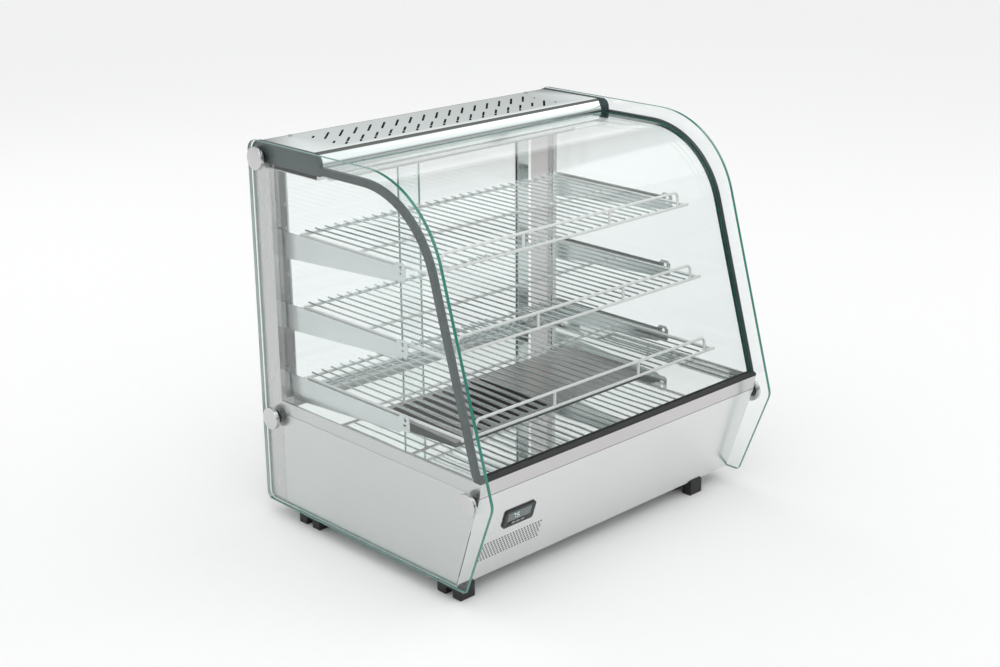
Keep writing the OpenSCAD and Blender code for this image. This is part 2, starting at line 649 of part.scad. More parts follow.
// channel pressed over the outer upright edge of a door
module door_handle(side) {
    x0 = side < 0 ? left_door_x : right_door_x + door_w - handle_w;
    y = side < 0 ? track_out : track_in;
    slot_x = side < 0 ? x0 + handle_web : x0 - 1;
    color([0.7, 0.73, 0.72]) difference() {
        box([x0, y - handle_t / 2, handle_low], [x0 + handle_w, y + handle_t / 2, handle_high]);
        box([slot_x, y - door_t / 2 - 0.05, handle_low - 1],
            [slot_x + handle_w - handle_web + 1, y + door_t / 2 + 0.05, handle_high + 1]);
    }
}

// ---- shelves ---------------------------------------------------------------------------
rear_rod_y = post_y - flange_d - 22;
module bracket(side, z) {
    m = side < 0 ? 1 : 0;
    y1 = flange_y + 4;
    tab = y1 - bracket_l;
    top = z + 4;
    color([0.7, 0.74, 0.74]) mirror([m, 0, 0]) difference() {
        union() {
            across(plate_in, bracket_t) polygon(rounded([[y1, top, 0], [y1, z - 42, 2],
                [tab + 26, z - 23, 4], [tab + 18, z - 19, 0], [tab, z - 19, 6], [tab, z + 10, 8],
                [tab + 22, z + 10, 6], [tab + 26, top, 0]]));
            box([plate_in + bracket_t - ledge_w, tab + 24, z - rod_d / 2 - bracket_t - 0.1],
                [plate_in + bracket_t, flange_y - 8, z - rod_d / 2 - 0.1]);
            for (k = [-1, 1]) box([post_in + play, flange_y + 2.8, z - 14 + k * 12 - 3.5],
                [plate_in + 0.1, flange_y + 4, z - 14 + k * 12 + 3.5]);
        }
        translate([plate_in - 1, tab + 11, z + 2]) rotate([0, 90, 0]) cylinder(d = 7, h = 5);
        box([plate_in - 1, tab + 8, z - 9], [plate_in + 4, tab + 15, z - 6]);
    }
}
module shelf(z, reach) {
    half = plate_in - 13;
    wires = floor((half - 8) / wire_pitch);
    top = z + rod_d / 2 + wire_d / 2 - 0.4;
    bar = rod_d - 0.2;
    color([0.83, 0.86, 0.85]) union() {
        for (y = [rear_rod_y, (rear_rod_y - reach) / 2 + 14]) rod([-half, y, z], [half, y, z], rod_d);
        rod([-half - 6, -reach, z], [half + 6, -reach, z], rod_d);
        for (i = [-wires:wires]) rod([i * wire_pitch, 0.5 - reach, top], [i * wire_pitch, rear_rod_y + 9, top], wire_d);
        for (s = [-1, 1]) rod([s * half, -reach, z], [s * half, rear_rod_y + 2, z], rod_d - 0.5);
        rod([-rail_hw + rail_bend, -reach, z + rail_h], [rail_hw - rail_bend, -reach, z + rail_h], rod_d);
        for (s = [-1, 1]) {
            rod([s * rail_hw, -reach, z], [s * rail_hw, -reach, z + rail_h - rail_bend], rod_d);
            rod([s * rail_hw / 2.73, -reach, z], [s * rail_hw / 2.73, -reach, z + rail_h], bar);
            translate([s * (rail_hw - rail_bend), -reach, z + rail_h - rail_bend]) intersection() {
                rotate([90, 0, 0]) rotate_extrude($fn = 48) translate([rail_bend, 0]) circle(d = rod_d, $fn = 24);
                translate([s < 0 ? -50 : 0, -25, 0]) cube([50, 50, 50]);
            }
        }
    }
}
rail_bend = 10;                              // bend radius at each end of the rail
rail_hw = plate_in - 35;

// ---- stand-off buttons and screws ------------------------------------------------------
module standoff_buttons() {
    color([0.8, 0.82, 0.83]) for (s = [-1, 1], p = button_at) {
        rod([s * half_w, p.x, p.y], [s * (half_w + button_t), p.x, p.y], button_d);
        rod([s * (half_w + 0.5), p.x, p.y], [s * (body_hw - end_t), p.x, p.y], stud_d);
    }
}
module standoff_washers() {
    color([0.15, 0.15, 0.15]) for (s = [-1, 1], p = button_at) difference() {
        rod([s * (body_hw + 0.05), p.x, p.y], [s * (glass_in - 0.05), p.x, p.y], 22);
        rod([s * (body_hw - 1), p.x, p.y], [s * (glass_in + 1), p.x, p.y], stud_hole);
    }
}
module screw(d) {
    cylinder(d = 2 * d, h = 1.6);
    translate([0, 0, -5]) cylinder(d = d, h = 5.5);
}
module cover_screws() {
    color([0.72, 0.73, 0.75]) {
        for (s = [-1, 1]) translate([s * cap_screw_x, cap_screw_y, cap_z]) screw(4 - play);
        for (p = rear_screws) on_rear(p.x, p.y) screw(4 - play);
    }
}

// ---- controls --------------------------------------------------------------------------
key_w = 7;
key_gap = 3;
key_x = [for (i = [0:2]) bezel_x - 12 + i * (key_w + key_gap)];
key_y = -bezel_down - bezel_h / 2 + 7.6;
module key_outline(grow) { square([key_w + 2 * grow, 3.6 + 2 * grow], center = true); }
module controller_body() {
    w = bezel_w;
    h = bezel_h;
    color([0.06, 0.06, 0.07]) difference() {
        union() {
            on_panel() translate([bezel_x, -bezel_down, 0.05]) linear_extrude(3) polygon(rounded([[-w / 2, -h / 2, 5],
                [w / 2, -h / 2, 5], [w / 2, h / 2, 5], [-w / 2, h / 2, 5]]));
            on_panel() translate([bezel_x, -bezel_down, -24]) cube([w - 6, h - 6, 49], center = true);
        }
        on_panel() translate([bezel_x, -bezel_down + 2.6, 2]) cube([w - 14, h - 15, 2.4], center = true);
        for (x = key_x) on_panel() translate([x, key_y, -3]) linear_extrude(10) key_outline(play);
    }
}
module display_lens() {
    color([0.35, 0.4, 0.4]) on_panel() translate([bezel_x, -bezel_down + 2.6, 1.6])
        cube([bezel_w - 14 - play, bezel_h - 15 - play, 1.5], center = true);
}
module key(i) {
    color([0.6, 0.62, 0.62]) on_panel() translate([key_x[i], key_y, -1.6]) linear_extrude(5.4) key_outline(0);
}
module switch_body(x) {
    color([0.05, 0.05, 0.05]) on_rear(x, switch_z) difference() {
        union() {
            translate([-7.5, -15.5, 0.05]) cube([15, 31, 2]);
            translate([-6, -13.7, -24]) cube([12, 27.4, 24.1]);
        }
        rotate([0, 90, 0]) translate([4, 0, -4.6]) cylinder(r = rocker_r + play, h = 9.2);
        translate([-4.6, -rocker_r - play, -4]) cube([9.2, 2 * (rocker_r + play), 10]);
    }
}
rocker_tilt = 10;
// rocker with two flats, resting with its lower half pressed in
module switch_rocker(x) {
    color([0.12, 0.12, 0.12]) on_rear(x, switch_z) translate([0, 0, -4]) rotate([rocker_tilt, 0, 0]) intersection() {
        rotate([0, 90, 0]) translate([0, 0, -4.3]) cylinder(r = rocker_r, h = 8.6);
        rotate([90, 0, 90]) translate([0, 0, -5]) linear_extrude(10)
            polygon([[-14, -4], [14, -4], [14, 4 + 14 * tan(rocker_tilt)], [0, 4], [-14, 4 + 14 * tan(rocker_tilt)]]);
    }
}
module cable_gland() {
    color([0.08, 0.08, 0.08]) on_rear(gland_x, gland_z) difference() {
        union() {
            translate([0, 0, 0.05]) cylinder(d = 24, h = 3.5, $fn = 6);
            cylinder(d = 19, h = 7.8);
            translate([0, 0, -12]) cylinder(d = gland_d, h = 13);
            translate([0, 0, -sheet - 5.1]) cylinder(d = 24, h = 5, $fn = 6);
        }
        translate([0, 0, -20]) cylinder(d = 8, h = 40);
    }
}

// ---- the assembly ----------------------------------------------------------------------
side_glass(-1);  // side_glass_left
side_glass(1);  // side_glass_right
front_glass();
edge_strip(-1);  // edge_strip_left
edge_strip(1);  // edge_strip_right
front_gasket();
cap_end(-1);  // cap_end_left
cap_end(1);  // cap_end_right
cap_top();
cap_liner();
lamp_strip();
bottom_plate();
front_panel();
side_panel(-1);  // side_panel_left
side_panel(1);  // side_panel_right
rear_panel();
deck_tray();
heater_cover();
rear_post(-1);  // rear_post_left
rear_post(1);  // rear_post_right
shelf_standard(-1);  // shelf_standard_left
shelf_standard(1);  // shelf_standard_right
track(head_z, false);  // door_track_top
track(sill_z, true);  // door_track_bottom
door_glass(-1);  // door_glass_left
door_glass(1);  // door_glass_right
door_handle(-1);  // door_handle_left
door_handle(1);  // door_handle_right
bracket(-1, shelf_z[0]);  // bracket_left_top
bracket(-1, shelf_z[1]);  // bracket_left_middle
bracket(-1, shelf_z[2]);  // bracket_left_bottom
bracket(1, shelf_z[0]);  // bracket_right_top
bracket(1, shelf_z[1]);  // bracket_right_middle
bracket(1, shelf_z[2]);  // bracket_right_bottom
shelf(shelf_z[0], shelf_reach[0]);  // shelf_top
shelf(shelf_z[1], shelf_reach[1]);  // shelf_middle
shelf(shelf_z[2], shelf_reach[2]);  // shelf_bottom
foot(foot_at[0]);  // foot_front_left
foot(foot_at[1]);  // foot_front_right
foot(foot_at[2]);  // foot_rear_left
foot(foot_at[3]);  // foot_rear_right
standoff_buttons();
standoff_washers();
cover_screws();
controller_body();
display_lens();
key(0);  // key_set
key(1);  // key_up
key(2);  // key_down
switch_body(switch_x);  // power_switch_body
switch_rocker(switch_x);  // power_switch_rocker
switch_body(switch_x + switch_pitch);  // lamp_switch_body
switch_rocker(switch_x + switch_pitch);  // lamp_switch_rocker
cable_gland();
air_duct();
heater_element();
fan_motor();
fan_blade();
terminal_block();
thermal_cutout();
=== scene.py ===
import json
import math
import bmesh
import bpy
from mathutils import Matrix, Vector


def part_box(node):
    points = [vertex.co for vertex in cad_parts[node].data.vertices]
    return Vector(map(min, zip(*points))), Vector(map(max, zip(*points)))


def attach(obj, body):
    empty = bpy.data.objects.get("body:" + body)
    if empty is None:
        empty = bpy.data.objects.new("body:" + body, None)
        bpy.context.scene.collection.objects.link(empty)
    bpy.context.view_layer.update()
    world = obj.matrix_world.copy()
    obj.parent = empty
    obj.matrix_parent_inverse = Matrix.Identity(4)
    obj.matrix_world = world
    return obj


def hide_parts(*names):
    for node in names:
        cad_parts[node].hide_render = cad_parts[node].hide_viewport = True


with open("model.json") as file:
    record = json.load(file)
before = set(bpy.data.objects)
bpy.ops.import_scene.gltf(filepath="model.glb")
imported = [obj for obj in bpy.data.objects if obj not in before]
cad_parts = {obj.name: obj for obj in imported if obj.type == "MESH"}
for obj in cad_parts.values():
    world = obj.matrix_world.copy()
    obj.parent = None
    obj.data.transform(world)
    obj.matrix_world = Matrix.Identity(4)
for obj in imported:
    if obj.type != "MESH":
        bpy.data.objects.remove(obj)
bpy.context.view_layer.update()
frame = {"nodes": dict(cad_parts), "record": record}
nodes = frame["nodes"]
scene = bpy.context.scene
print("frame loaded:", len(nodes), "nodes")

# camera that fits the outline of the case
view = {"place": (-1.8499, -1.8748, 1.2187), "azimuth": -44.772, "elevation": 19.389, "roll": -0.00113,
        "lens": 57.76, "sensor": 36, "near": 0.05, "far": 100, "shift": (-0.0241, 0.0148)}


def makeCamera(v):
    a, e = math.radians(v["azimuth"]), math.radians(v["elevation"])
    back = Vector((math.sin(a) * math.cos(e), -math.cos(a) * math.cos(e), math.sin(e)))
    right = (-back).cross(Vector((0, 0, 1))).normalized()
    up = right.cross(-back)
    c, s = math.cos(v["roll"]), math.sin(v["roll"])
    right, up = c * right + s * up, c * up - s * right
    data = bpy.data.cameras.new("studioCamera")
    data.lens, data.sensor_width = v["lens"], v["sensor"]
    data.clip_start, data.clip_end = v["near"], v["far"]
    data.shift_x, data.shift_y = v["shift"]
    cam = bpy.data.objects.new("studioCamera", data)
    m = Matrix((right, up, back)).transposed().to_4x4()
    m.translation = Vector(v["place"])
    cam.matrix_world = m
    scene.collection.objects.link(cam)
    scene.camera = cam


makeCamera(view)
scene.view_settings.view_transform = "Standard"
scene.cycles.transparent_max_bounces = 24      # the panes stand several deep


# shader maths as expressions: a Val is one socket
class Val:
    def __init__(self, tree, socket):
        self.tree, self.socket = tree, socket

    def maths(self, operation, a, b, clamp=False):
        return self.tree.node("ShaderNodeMath", {"operation": operation, "use_clamp": clamp}, {0: a, 1: b})

    def __add__(self, other):
        return self.maths("ADD", self, other)

    def __radd__(self, other):
        return self.maths("ADD", other, self)

    def __sub__(self, other):
        return self.maths("SUBTRACT", self, other)

    def __rsub__(self, other):
        return self.maths("SUBTRACT", other, self)

    def __mul__(self, other):
        return self.maths("MULTIPLY", self, other)

    def __rmul__(self, other):
        return self.maths("MULTIPLY", other, self)

    def __pow__(self, other):
        return self.maths("POWER", self, other)

    def __gt__(self, other):
        return self.maths("GREATER_THAN", self, other)

    def __lt__(self, other):
        return self.maths("LESS_THAN", self, other)

    def clamped(self):
        return self.maths("ADD", self, 0.0, True)


# node tree of a material, or of the world when that is given
class Shader:
    def __init__(self, name, owner=None):
        self.owner = owner or bpy.data.materials.new(name)
        self.owner.use_nodes = True
        self.links = self.owner.node_tree.links
        self.make = self.owner.node_tree.nodes
        self.make.clear()
        self.output = self.make.new("ShaderNodeOutputWorld" if owner else "ShaderNodeOutputMaterial")

    def node(self, kind, settings=None, values=None, out=0):
        n = self.make.new(kind)
        for key, value in (settings or {}).items():
            if key == "stops":
                while len(n.color_ramp.elements) < len(value):
                    n.color_ramp.elements.new(0.5)
                for element, (at, tone) in zip(n.color_ramp.elements, value):
                    element.position, element.color = at, (tone, tone, tone, 1)
            else:
                setattr(n, key, value)
        for key, value in (values or {}).items():
            if isinstance(value, Val):
                self.links.new(value.socket, n.inputs[key])
            else:
                n.inputs[key].default_value = value
        return Val(self, n.outputs[out])

    def axis(self, index, space="Object"):
        at = self.node("ShaderNodeTexCoord", out=space)
        return self.node("ShaderNodeSeparateXYZ", {}, {0: at}, out=index)

    def noise(self, scale, detail=2.0, stretch=(1, 1, 1), rough=0.5):
        at = self.node("ShaderNodeTexCoord", out="Object")
        at = self.node("ShaderNodeMapping", {}, {"Vector": at, "Scale": stretch})
        return self.node("ShaderNodeTexNoise", {},
                         {"Vector": at, "Scale": scale, "Detail": detail, "Roughness": rough})

    def ramp(self, source, stops):
        return self.node("ShaderNodeValToRGB", {"stops": stops}, {0: source})

    def mixColour(self, share, a, b, blend="MIX"):
        n = self.make.new("ShaderNodeMix")
        n.data_type, n.blend_type = "RGBA", blend
        for socket, value in ((n.inputs[0], share), (n.inputs[6], a), (n.inputs[7], b)):
            if isinstance(value, Val):
                self.links.new(value.socket, socket)
            else:
                socket.default_value = (*value, 1)[:4] if hasattr(value, "__len__") else value
        return Val(self, n.outputs[2])

    def bump(self, height, strength, distance):
        return self.node("ShaderNodeBump", {}, {"Height": height, "Strength": strength, "Distance": distance})

    def finish(self, shader):
        self.links.new(shader.socket, self.output.inputs["Surface"])
        return self.owner


# finishes: colour, roughness and grain
def brushedSteel(name, colour, rough=0.3, along=0, grain=0.05, scratch=0.00002, paintedShadeAt=None):
    s = Shader(name)
    stretch = [260.0, 260.0, 260.0]
    stretch[along] = 4.0
    lines = s.noise(3.0, 3.0, stretch, 0.7)
    smears = s.noise(5.0, 3.0, (1, 1, 1), 0.6)
    tone = s.mixColour((lines - 0.5) * 8 * grain + (smears - 0.5) * 0.5 + 0.5,
                       [c * 0.94 for c in colour], [min(1, c * 1.06) for c in colour])
    metal, rough = 1.0, ((lines - 0.5) * 0.5 + (smears - 0.5) * 0.3 + 1) * rough
    if paintedShadeAt:                                   # painted shade: near-black, unlit and rougher where the mask is 1, for the dark inside of the case seen through its openings
        shadeShare = paintedShadeAt(s)
        tone = s.mixColour(shadeShare, tone, (0.008, 0.008, 0.008))
        metal, rough = 1 - shadeShare, (shadeShare * 0.5 + rough).clamped()
    return s.finish(s.node("ShaderNodeBsdfPrincipled", {}, {
        "Base Color": tone, "Metallic": metal, "Roughness": rough, "Normal": s.bump(lines, 0.35, scratch)}))


def polishedSteel(name, colour, rough=0.09, wave=0.0006):
    s = Shader(name)
    waves = s.noise(7.0, 1.0)
    haze = s.noise(26.0, 4.0, (1, 1, 1), 0.65)
    tone = s.mixColour(haze, [c * 0.95 for c in colour], [min(1, c * 1.04) for c in colour])
    return s.finish(s.node("ShaderNodeBsdfPrincipled", {}, {
        "Base Color": tone, "Metallic": 1.0, "Roughness": (haze + 0.5) * rough,
        "Normal": s.bump(waves, 0.5, wave)}))


def plasticLike(name, colour, rough=0.45, grain=900.0, depth=0.00003, tint=0.12):
    s = Shader(name)
    pits = s.noise(grain, 2.0)
    wear = s.noise(14.0, 3.0, (1, 1, 1), 0.6)
    tone = s.mixColour(wear, [c * (1 - tint) for c in colour],
                       [min(1, c * (1 + tint) + 0.004) for c in colour])
    return s.finish(s.node("ShaderNodeBsdfPrincipled", {}, {
        "Base Color": tone, "Roughness": (wear - 0.5) * 0.14 + rough, "Normal": s.bump(pits, 0.4, depth)}))


# clear pane: see-through with the gloss of its two faces, and a faint film of dust
def paneGlass(name, through, film=0.012, gloss=0.9):
    s = Shader(name)
    facing = s.node("ShaderNodeLayerWeight", {}, {"Blend": 0.5}, out="Facing")
    dust = s.noise(9.0, 3.0, (1, 1, 1), 0.6)
    share = (facing ** 5.0) * gloss + (dust - 0.35).clamped() * film + 0.042
    clear = s.node("ShaderNodeBsdfTransparent", {}, {"Color": (*through, 1)})
    mirror = s.node("ShaderNodeBsdfPrincipled", {}, {
        "Base Color": s.mixColour(dust, (0.93, 0.97, 0.96), (1, 1, 1)), "Metallic": 1.0, "Roughness": 0.03})
    return s.finish(s.node("ShaderNodeMixShader", {}, {0: share.clamped(), 1: clear, 2: mirror}))


# ground and polished edge of a pane, where the green of the glass gathers
def paneEdge(name, deep, pale, rough=0.16):
    s = Shader(name)
    streaks = s.noise(30.0, 3.0, (1, 1, 1), 0.6)
    tone = s.mixColour(streaks, deep, pale)
    return s.finish(s.node("ShaderNodeBsdfPrincipled", {}, {
        "Base Color": tone, "Roughness": (streaks - 0.5) * 0.1 + rough, "Coat Weight": 0.6,
        "Coat Roughness": 0.05}))


# brushed sheet: colour, roughness, axis of the brush lines, their contrast and their depth
steel = {
    "side": ((0.66, 0.65, 0.65), 0.24, 1, 0.012, 0.000003),
    "front": ((0.76, 0.775, 0.77), 0.22, 0, 0.012, 0.000004),
    "rim": ((0.62, 0.605, 0.605), 0.2, 0, 0.015, 0.000004),
    "rear": ((0.58, 0.585, 0.585), 0.32, 0, 0.03, 0.00001),
    "post": ((0.62, 0.595, 0.595), 0.26, 2, 0.02, 0.000006),
    "cap": ((0.84, 0.925, 0.91), 0.06, 0, 0.01, 0.000003),
    "liner": ((0.72, 0.695, 0.695), 0.12, 0, 0.02, 0.000004),
    "plate": ((0.50, 0.51, 0.52), 0.42, 0, 0.05, 0.00002),
    "cover": ((0.54, 0.51, 0.50), 0.24, 1, 0.03, 0.00001),
    "bracket": ((0.63, 0.66, 0.655), 0.22, 1, 0.02, 0.000006),
    "standard": ((0.40, 0.40, 0.40), 0.14, 2, 0.03, 0.000006),
    "handle": ((0.66, 0.70, 0.69), 0.18, 2, 0.02, 0.000006),
    "fan": ((0.62, 0.63, 0.64), 0.38, 0, 0.05, 0.00002),
    "heater": ((0.22, 0.19, 0.18), 0.5, 0, 0.05, 0.00002),
    "screw": ((0.6, 0.61, 0.62), 0.3, 0, 0.05, 0.00001),
}
frontLean = math.radians(17.97)                  # lean of the front panel from upright
vent = {"skin": 0.00015, "reach": -0.19, "fromTop": 0.06, "fromFoot": 0.02, "crown": 0.0003}
plateSkin = 0.0008                               # the bottom plate is painted with dark shade above this


# painted shade mask: 1 behind the outer skin of the front panel, around the vent, where the inside of the
# case is dark
def shadeBehindVent(s):
    low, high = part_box("front_panel")
    behind, above = s.axis(1) - low.y, s.axis(2) - (high.z - vent["crown"])
    depth = behind * math.cos(frontLean) + above * math.sin(frontLean)
    beside = (s.axis(0) < vent["reach"]) * (s.axis(2) < high.z - vent["fromTop"])
    return (depth > vent["skin"]) * beside * (s.axis(2) > low.z + vent["fromFoot"])


# painted shade mask: 1 above the outer skin of the bottom plate and over the air duct, inside the dark base
def shadeAbovePlate(s):
    return s.axis(2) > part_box("bottom_plate")[0].z + plateSkin


# painted shade masks of the steels: near-black where they give 1
paintedShadeMasks = {"front": shadeBehindVent, "plate": shadeAbovePlate}
finishes = {key + "Steel": brushedSteel(key + "Steel", *value, paintedShadeMasks.get(key))
            for key, value in steel.items()}
finishes.update({
    "deckSteel": polishedSteel("deckSteel", (0.84, 0.85, 0.845), 0.04, 0.0009),
    "wireChrome": polishedSteel("wireChrome", (0.50, 0.56, 0.55), 0.10, 0.0001),
    "buttonChrome": polishedSteel("buttonChrome", (0.62, 0.625, 0.62), 0.13, 0.0001),
    "stripBlack": plasticLike("stripBlack", (0.014, 0.032, 0.032), 0.42),
    "gasketBlack": plasticLike("gasketBlack", (0.014, 0.016, 0.016), 0.6),
    "capEndBlack": plasticLike("capEndBlack", (0.012, 0.034, 0.037), 0.36),
    "bayBlack": plasticLike("bayBlack", (0.012, 0.013, 0.013), 0.7),
    "footBlack": plasticLike("footBlack", (0.012, 0.012, 0.014), 0.55, 500.0, 0.00006),
    "controlBlack": plasticLike("controlBlack", (0.012, 0.012, 0.014), 0.3),
    "switchBlack": plasticLike("switchBlack", (0.012, 0.012, 0.012), 0.25),
    "keyGrey": plasticLike("keyGrey", (0.30, 0.32, 0.32), 0.4),
    "trackGrey": plasticLike("trackGrey", (0.60, 0.62, 0.62), 0.35),
    "lampWhite": plasticLike("lampWhite", (0.86, 0.87, 0.85), 0.4),
    "terminalWhite": plasticLike("terminalWhite", (0.78, 0.78, 0.72), 0.45),
    "cutoutCream": plasticLike("cutoutCream", (0.72, 0.67, 0.55), 0.5),
    "motorGrey": plasticLike("motorGrey", (0.10, 0.11, 0.12), 0.42),
    "lensGrey": plasticLike("lensGrey", (0.14, 0.18, 0.18), 0.12),
    "sideGlass": paneGlass("sideGlass", (0.976, 0.991, 0.988)),
    "frontGlass": paneGlass("frontGlass", (0.978, 0.990, 0.987)),
    "doorGlass": paneGlass("doorGlass", (0.976, 0.990, 0.987)),
    "sideEdge": paneEdge("sideEdge", (0.012, 0.15, 0.11), (0.03, 0.24, 0.18)),
    "faintEdge": paneEdge("faintEdge", (0.40, 0.52, 0.48), (0.54, 0.64, 0.60)),
    # painted shade: near-black for the walls of the heater cover and its slots
    "coverDark": plasticLike("coverDark", (0.045, 0.06, 0.057), 0.35),
    "doorEdge": paneEdge("doorEdge", (0.10, 0.22, 0.19), (0.22, 0.36, 0.32)),
})
print("finishes made:", len(finishes))


# floor, sky and lamps: the sky has a dark band low down and a dark gap at the upper right, which give the
# sheet metal its tones. Stops are (height or side, tone)
room = {"size": 60.0, "bright": 1.06, "lampShare": 0.42, "gapTone": (0.17, 0.16, 0.155),
        "sky": ((0.0, 0.5), (0.02, 0.34), (0.12, 0.30), (0.22, 0.72), (0.36, 0.97), (1.0, 1.0)),
        "gapHeight": ((0.39, 0.0), (0.44, 1.0), (0.78, 1.0), (0.84, 0.0)),
        "gapSide": ((0.20, 0.0), (0.42, 1.0)), "gapDepth": ((0.05, 0.0), (0.16, 1.0)),
        "lamps": (("keyLight", (-1.6, -1.5, 3.2), 2.4, 34), ("fillLight", (2.6, -0.6, 2.6), 2.0, 14),
                  ("backLight", (0.2, 2.8, 2.4), 2.2, 16)), "aim": (0, 0, 0.35)}


def makeFloor():
    floor = Shader("studioFloor")
    paper = floor.noise(40.0, 3.0)
    floor.finish(floor.node("ShaderNodeBsdfPrincipled", {}, {
        "Base Color": floor.mixColour(paper, (0.93, 0.935, 0.94), (0.95, 0.95, 0.95)), "Roughness": 0.9,
        "Specular IOR Level": 0.1}))
    mesh = bpy.data.meshes.new("studioFloor")
    h = room["size"] / 2
    mesh.from_pydata([(-h, -h, 0), (h, -h, 0), (h, h, 0), (-h, h, 0)], [], [(0, 1, 2, 3)])
    mesh.materials.append(floor.owner)
    ob = bpy.data.objects.new("studioFloor", mesh)
    scene.collection.objects.link(ob)


def makeSky():
    scene.world = bpy.data.worlds.new("studioWorld")
    sky = Shader("studioWorld", scene.world)
    x, y, z = (sky.axis(i, "Generated") for i in (0, 1, 2))
    gap = sky.mixColour(1.0, sky.ramp(z, room["gapHeight"]), sky.ramp(x, room["gapSide"]), "MULTIPLY")
    gap = sky.mixColour(1.0, gap, sky.ramp(y, room["gapDepth"]), "MULTIPLY")
    sky.finish(sky.node("ShaderNodeBackground", {}, {
        "Color": sky.mixColour(gap, sky.ramp(z, room["sky"]), room["gapTone"]), "Strength": room["bright"]}))


def makeLamps():
    for name, place, wide, power in room["lamps"]:
        data = bpy.data.lights.new(name, "AREA")
        data.shape, data.size, data.energy = "DISK", wide, power * room["lampShare"]
        lamp = bpy.data.objects.new(name, data)
        lamp.location = place
        lamp.rotation_euler = (Vector(room["aim"]) - Vector(place)).to_track_quat("-Z", "Y").to_euler()
        scene.collection.objects.link(lamp)


makeFloor()
makeSky()
makeLamps()
print("studio made")


# a finished mesh as a piece: the body it rides and the CAD nodes it stands for
def addPiece(name, mesh, body, stands=()):
    ob = bpy.data.objects.new(name, mesh)
    scene.collection.objects.link(ob)
    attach(ob, body)
    if stands:
        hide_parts(*stands)
    return ob


def smoothByAngle(bm, degrees):
    limit = math.radians(degrees)
    for face in bm.faces:
        face.smooth = True
    for edge in bm.edges:
        edge.smooth = len(edge.link_faces) == 2 and edge.calc_face_angle(3.2) < limit


# joined-up copy of a CAD node, ready for bevels
def joinedCopy(node, sharp=28.0):
    bm = bmesh.new()
    bm.from_mesh(nodes[node].data)
    bmesh.ops.remove_doubles(bm, verts=bm.verts, dist=2e-6)
    bmesh.ops.dissolve_limit(bm, angle_limit=math.radians(0.5), verts=bm.verts, edges=bm.edges)
    smoothByAngle(bm, sharp)
    return bm


def finishMesh(bm, name, materials):
    mesh = bpy.data.meshes.new(name)
    bm.normal_update()
    bm.to_mesh(mesh)
    bm.free()
    for m in materials:
        mesh.materials.append(finishes[m])
    return mesh


def bodyOf(node):
    return next(b for b, members in frame["record"]["behaviour"]["bodies"].items() if node in members)


def bevel(ob, width, segments=2, degrees=32.0):
    m = ob.modifiers.new("softEdge", "BEVEL")
    m.width, m.segments = width, segments
    m.limit_method, m.angle_limit = "ANGLE", math.radians(degrees)
    return m


# pieces whose CAD shape is kept, with the edges softened: finish and width of the soft edge in metres
refined = {
    "front_gasket": ("gasketBlack", 0.0006), "edge_strip_left": ("stripBlack", 0.0008),
    "edge_strip_right": ("stripBlack", 0.0008), "cap_end_left": ("capEndBlack", 0.0009),
    "cap_end_right": ("capEndBlack", 0.0009), "cap_top": ("capSteel", 0), "cap_liner": ("linerSteel", 0.0003),
    "lamp_strip": ("lampWhite", 0.0004), "side_panel_left": ("sideSteel", 0.0003),
    "side_panel_right": ("sideSteel", 0.0003), "deck_tray": ("deckSteel", 0.0003),
    "heater_cover": ("coverSteel", 0), "rear_post_left": ("postSteel", 0.0004),
    "rear_post_right": ("postSteel", 0.0004),
    "shelf_standard_left": ("standardSteel", 0.0002), "shelf_standard_right": ("standardSteel", 0.0002),
    "door_track_top": ("trackGrey", 0.0004), "door_track_bottom": ("trackGrey", 0.0004),
    "door_handle_left": ("handleSteel", 0.0005), "door_handle_right": ("handleSteel", 0.0005),
    "foot_front_left": ("footBlack", 0.0011), "foot_front_right": ("footBlack", 0.0011),
    "foot_rear_left": ("footBlack", 0.0011), "foot_rear_right": ("footBlack", 0.0011),
    "controller_body": ("controlBlack", 0.0006), "display_lens": ("lensGrey", 0.0003),
    "key_set": ("keyGrey", 0.0004), "key_up": ("keyGrey", 0.0004), "key_down": ("keyGrey", 0.0004),
    "power_switch_body": ("switchBlack", 0.0004), "lamp_switch_body": ("switchBlack", 0.0004),
    "power_switch_rocker": ("switchBlack", 0.0004), "lamp_switch_rocker": ("switchBlack", 0.0004),
    "cable_gland": ("switchBlack", 0.0004),
    "terminal_block": ("terminalWhite", 0.0005), "thermal_cutout": ("cutoutCream", 0.0003),
    "fan_motor": ("motorGrey", 0.0006), "fan_blade": ("fanSteel", 0.0003),
    **{f"bracket_{side}_{level}": ("bracketSteel", 0.0003) for side in ("left", "right")
       for level in ("top", "middle", "bottom")},
}
keptAsCad = {"front_panel": "frontSteel", "rear_panel": "rearSteel", "bottom_plate": "plateSteel",
             "air_duct": "plateSteel", "heater_element": "heaterSteel", "standoff_washers": "gasketBlack",
             "cover_screws": "screwSteel"}


def camel(node):
    first, *rest = node.split("_")
    return first + "".join(word.capitalize() for word in rest)


# second finishes on some faces: the finish, and a test of the face's middle and normal
deckLow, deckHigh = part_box("deck_tray")
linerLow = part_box("cap_liner")[0]
skin = 0.0006                                    # how near the outside counts as the rim of the deck
twoTone = {
    # painted shade: the heater cover's faces that don't face up, its side and slot walls, are painted
    # near-black
    "heater_cover": ("coverDark", lambda c, n: n.z < 0.5),
    "cap_liner": ("bayBlack", lambda c, n: n.z > 0.5 or n.y > 0.5 and c.z > linerLow.z + 0.004),
    "deck_tray": ("rimSteel", lambda c, n: c.z > deckHigh.z - skin or c.y < deckLow.y + 0.008
                  or abs(c.x) > deckHigh.x - skin),
}


